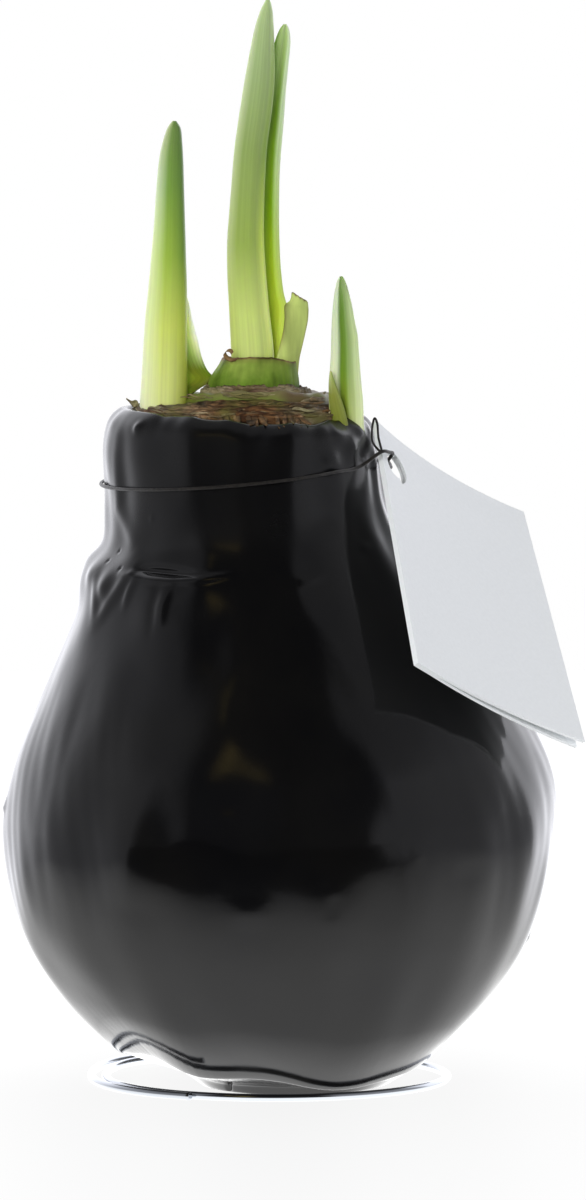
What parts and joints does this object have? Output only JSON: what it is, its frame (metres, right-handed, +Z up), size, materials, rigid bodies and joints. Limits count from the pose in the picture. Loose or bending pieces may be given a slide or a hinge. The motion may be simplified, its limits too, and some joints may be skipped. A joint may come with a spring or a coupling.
{
  "type": "waxed amaryllis bulb",
  "caption": "Living amaryllis bulb in a dipped wax coat, with cut neck, young leaves, a spiral wire stand and a blank folded tag tied round its neck.",
  "frame": {"origin": "middle of the flat foot, on the surface it stands on", "axes": "+Z up along the bulb's axis, +X to the side that the tag leans on, -Y to the front"},
  "size_m": [0.0968, 0.0924, 0.1812],
  "materials": {
    "wax": "glossy dipped wax",
    "bulb_flesh": "moist satin plant tissue",
    "dry_scale": "matt papery plant skin",
    "cut_leaf": "satin leaf with a dried cut edge",
    "leaf": "satin leaf",
    "sheath": "satin leaf sheath",
    "wire": "bright drawn wire",
    "cord": "matt elastic cord",
    "card": "smooth coated card"
  },
  "bodies": {
    "root": {"wax_coat": "wax", "bulb": "bulb_flesh", "outer_dry_scale": "dry_scale", "inner_dry_scale": "dry_scale", "cut_leaf": "cut_leaf", "left_leaf": "leaf", "center_leaf_front": "leaf", "center_leaf_back": "leaf", "right_leaf": "leaf", "right_leaf_sheath": "sheath", "left_leaf_sheath": "sheath", "wire_stand": "wire", "neck_tie": "cord", "tag": "card"}
  },
  "joints": []
}
